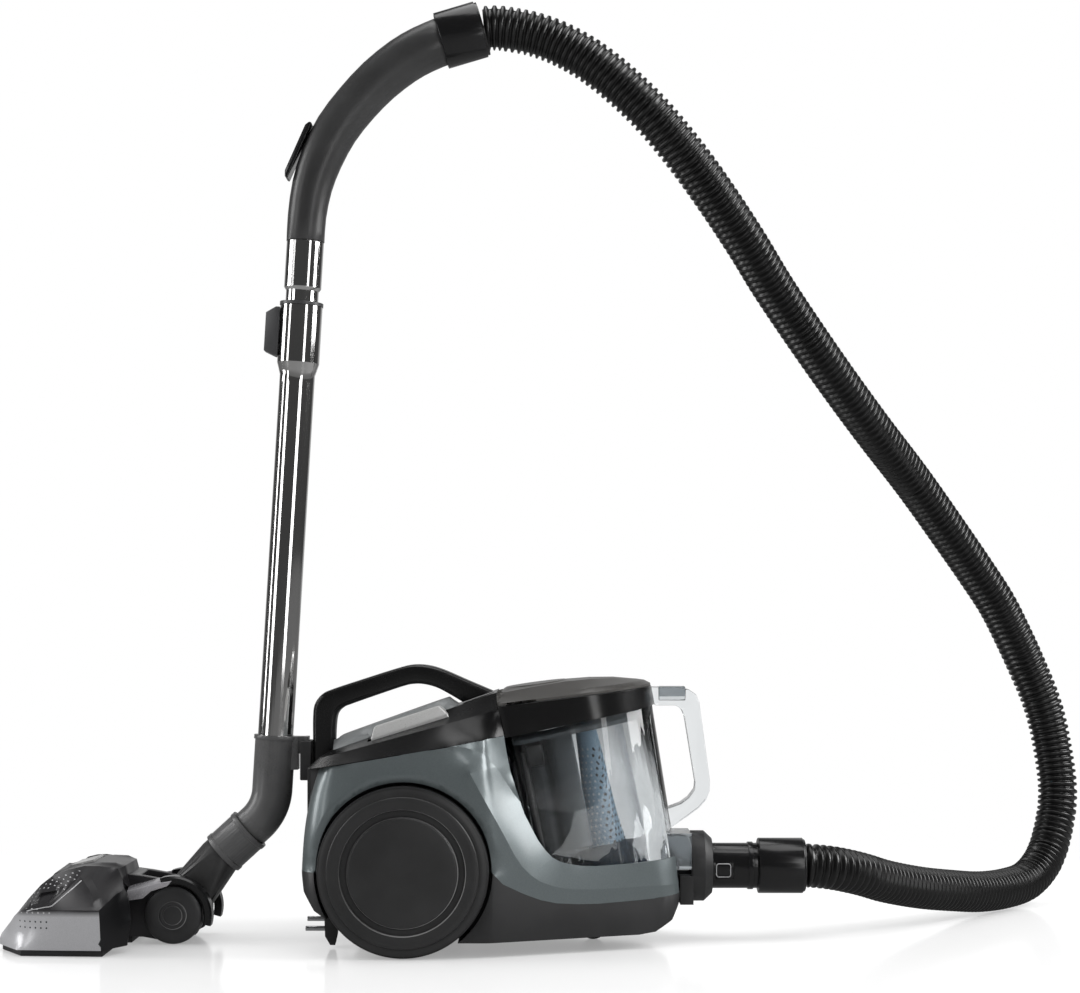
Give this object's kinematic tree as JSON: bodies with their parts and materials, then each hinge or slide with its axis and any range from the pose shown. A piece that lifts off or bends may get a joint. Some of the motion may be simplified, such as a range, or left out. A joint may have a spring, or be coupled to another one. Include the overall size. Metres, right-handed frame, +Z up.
{
  "type": "canister vacuum cleaner",
  "caption": "Bagless canister vacuum cleaner with a clear dust bin, a parked telescopic steel wand, a hinged floor head and a corrugated suction hose.",
  "frame": {"origin": "on the floor, midway between the rear wheels, below their axle", "axes": "+X from the floor head to the hose inlet, +Z up, +Y to the left seen from behind; the object stands on Z = 0"},
  "size_m": [1.134, 0.4922, 0.9346],
  "materials": {
    "housing_black": "fine grain",
    "shell_grey": "metallic gloss",
    "cover_black": "high gloss",
    "deck_grey": "satin metallic",
    "handle_black": "satin",
    "motor_metal": "satin",
    "soft_rubber": "matte",
    "copper": "satin",
    "fan_metal": "satin",
    "steel": "satin",
    "white_plastic": "satin",
    "cord_rubber": "matte",
    "filter_foam": "matte",
    "pedal_silver": "metallic satin",
    "wheel_black": "fine grain",
    "tyre": "matte",
    "clear": "clear polycarbonate",
    "shroud_blue": "satin",
    "smoke": "clear smoke",
    "lid_grey": "gloss",
    "cuff_black": "gloss",
    "hose_black": "soft gloss",
    "grip_black": "fine grain",
    "chrome": "polished",
    "lock_grey": "satin",
    "head_grey": "satin gloss",
    "bristle": "matte",
    "small_wheel": "satin"
  },
  "bodies": {
    "chassis": {"lower_housing": "housing_black", "side_shell_left": "shell_grey", "side_shell_right": "shell_grey", "top_cover": "cover_black", "control_deck": "deck_grey", "carry_handle": "handle_black", "park_bracket": "housing_black", "inlet_collar": "housing_black", "motor_casing": "motor_metal", "motor_mounts": "soft_rubber", "reel_pin": "steel", "reel_spring": "steel", "mains_plug": "cord_rubber", "exhaust_filter": "filter_foam", "exhaust_grille": "housing_black", "housing_screws": "steel", "wheel_axles": "steel", "hose_connector": "cuff_black", "hose": "hose_black"},
    "motor_rotor": {"motor_rotor": "copper", "motor_fan": "fan_metal"},
    "cord_reel": {"reel_drum": "white_plastic", "mains_cord": "cord_rubber"},
    "power_pedal": {"power_pedal": "pedal_silver"},
    "rewind_pedal": {"rewind_pedal": "pedal_silver"},
    "wheel_left": {"wheel_left": "wheel_black", "tyre_left": "tyre"},
    "wheel_right": {"wheel_right": "wheel_black", "tyre_right": "tyre"},
    "caster": {"caster_fork": "housing_black"},
    "caster_wheel": {"caster_wheel": "soft_rubber"},
    "bin": {"bin_cup": "clear", "bin_floor": "housing_black", "bin_band": "cover_black", "bin_handle": "clear", "bin_shroud": "shroud_blue", "cyclone_cluster": "smoke", "pre_motor_filter": "filter_foam"},
    "bin_lid": {"lid_cover": "lid_grey"},
    "bin_release": {"release_trigger": "housing_black"},
    "hose_latch_left": {"hose_latch_left": "cuff_black"},
    "hose_latch_right": {"hose_latch_right": "cuff_black"},
    "hose_cuff": {"hose_cuff": "cuff_black"},
    "wand": {"lower_tube": "chrome", "tube_collar": "lock_grey", "elbow": "grip_black"},
    "tube_lock": {"tube_lock": "lock_grey"},
    "handle": {"upper_tube": "chrome", "grip": "grip_black"},
    "grip_cuff": {"grip_cuff": "cuff_black"},
    "suction_slider": {"suction_slider": "cuff_black"},
    "neck": {"neck_sleeve": "grip_black", "knuckle": "grip_black"},
    "floor_head": {"head_carriage": "head_grey", "head_cover": "head_grey", "head_sole": "housing_black"},
    "head_pedal": {"head_pedal": "pedal_silver"},
    "head_bristles": {"head_bristles": "bristle"},
    "head_wheel_left": {"head_wheel_left": "small_wheel"},
    "head_wheel_right": {"head_wheel_right": "small_wheel"}
  },
  "joints": [
    {"name": "motor_spin", "type": "hinge", "parent": "chassis", "child": "motor_rotor", "pos_m": [-0.022, 0, 0.092], "axis": [0, 1, 0], "continuous": true},
    {"name": "reel_spin", "type": "hinge", "parent": "chassis", "child": "cord_reel", "pos_m": [-0.01, 0, 0.092], "axis": [0, 1, 0], "continuous": true},
    {"name": "power_press", "type": "slide", "parent": "chassis", "child": "power_pedal", "axis": [0.3074, 0, -0.9516], "range_m": [0, 0.004], "stiffness_N_per_m": 400, "springref_m": -0.003},
    {"name": "rewind_press", "type": "slide", "parent": "chassis", "child": "rewind_pedal", "axis": [0.3074, 0, -0.9516], "range_m": [0, 0.004], "stiffness_N_per_m": 400, "springref_m": -0.003},
    {"name": "wheel_left_roll", "type": "hinge", "parent": "chassis", "child": "wheel_left", "pos_m": [0, 0, 0.081], "axis": [0, 1, 0], "continuous": true},
    {"name": "wheel_right_roll", "type": "hinge", "parent": "chassis", "child": "wheel_right", "pos_m": [0, 0, 0.081], "axis": [0, 1, 0], "continuous": true},
    {"name": "caster_swivel", "type": "hinge", "parent": "chassis", "child": "caster", "pos_m": [0.19, 0, 0.04], "axis": [0, 0, 1], "continuous": true},
    {"name": "caster_roll", "type": "hinge", "parent": "caster", "child": "caster_wheel", "pos_m": [0.182, 0, 0.015], "axis": [0, 1, 0], "continuous": true},
    {"name": "bin_lift", "type": "slide", "parent": "chassis", "child": "bin", "axis": [0, 0, 1], "range_m": [0, 0.22]},
    {"name": "lid_lift", "type": "slide", "parent": "bin", "child": "bin_lid", "axis": [0, 0, 1], "range_m": [0, 0.06]},
    {"name": "release_press", "type": "slide", "parent": "bin", "child": "bin_release", "axis": [0, 0, -1], "range_m": [0, 0.003], "stiffness_N_per_m": 300, "springref_m": -0.003},
    {"name": "latch_left_press", "type": "slide", "parent": "chassis", "child": "hose_latch_left", "axis": [0, -1, 0], "range_m": [0, 0.002], "stiffness_N_per_m": 300, "springref_m": -0.002},
    {"name": "latch_right_press", "type": "slide", "parent": "chassis", "child": "hose_latch_right", "axis": [0, 1, 0], "range_m": [0, 0.002], "stiffness_N_per_m": 300, "springref_m": -0.002},
    {"name": "hose_cuff_swivel", "type": "hinge", "parent": "chassis", "child": "hose_cuff", "pos_m": [0.368, 0, 0.073], "axis": [1, 0, 0], "continuous": true},
    {"name": "wand_unpark", "type": "slide", "parent": "chassis", "child": "wand", "axis": [0, 0, 1], "range_m": [0, 0.05], "deforming": ["hose"]},
    {"name": "lock_slide", "type": "slide", "parent": "wand", "child": "tube_lock", "axis": [0.0604, 0, 0.9982], "range_m": [0, 0.008], "stiffness_N_per_m": 250, "springref_m": -0.004},
    {"name": "tube_extend", "type": "slide", "parent": "wand", "child": "handle", "axis": [0.0604, 0, 0.9982], "range_m": [0, 0.32], "deforming": ["hose"]},
    {"name": "grip_cuff_swivel", "type": "hinge", "parent": "handle", "child": "grip_cuff", "pos_m": [0.03, 0, 0.896], "axis": [0.9583, 0, 0.2857], "continuous": true},
    {"name": "suction_slide", "type": "slide", "parent": "handle", "child": "suction_slider", "axis": [0.4067, 0, 0.9135], "range_m": [0, 0.012]},
    {"name": "neck_turn", "type": "hinge", "parent": "wand", "child": "neck", "pos_m": [-0.16036, 0, 0.1098], "axis": [-0.7385, 0, -0.6743], "range_deg": [-80, 80]},
    {"name": "head_tilt", "type": "hinge", "parent": "neck", "child": "floor_head", "pos_m": [-0.231, 0, 0.0285], "axis": [0, 1, 0], "range_deg": [-30, 40]},
    {"name": "head_pedal_tilt", "type": "hinge", "parent": "floor_head", "child": "head_pedal", "pos_m": [-0.322, 0, 0.08], "axis": [0, 1, 0], "range_deg": [0, 12]},
    {"name": "bristle_lift", "type": "slide", "parent": "floor_head", "child": "head_bristles", "axis": [0, 0, 1], "range_m": [0, 0.006]},
    {"name": "head_wheel_left_roll", "type": "hinge", "parent": "floor_head", "child": "head_wheel_left", "pos_m": [-0.231, 0, 0.0285], "axis": [0, 1, 0], "continuous": true},
    {"name": "head_wheel_right_roll", "type": "hinge", "parent": "floor_head", "child": "head_wheel_right", "pos_m": [-0.231, 0, 0.0285], "axis": [0, 1, 0], "continuous": true}
  ],
  "couplings": [
    {"joint": "bristle_lift", "follows": "head_pedal_tilt", "m_per_rad": 0.028619}
  ]
}
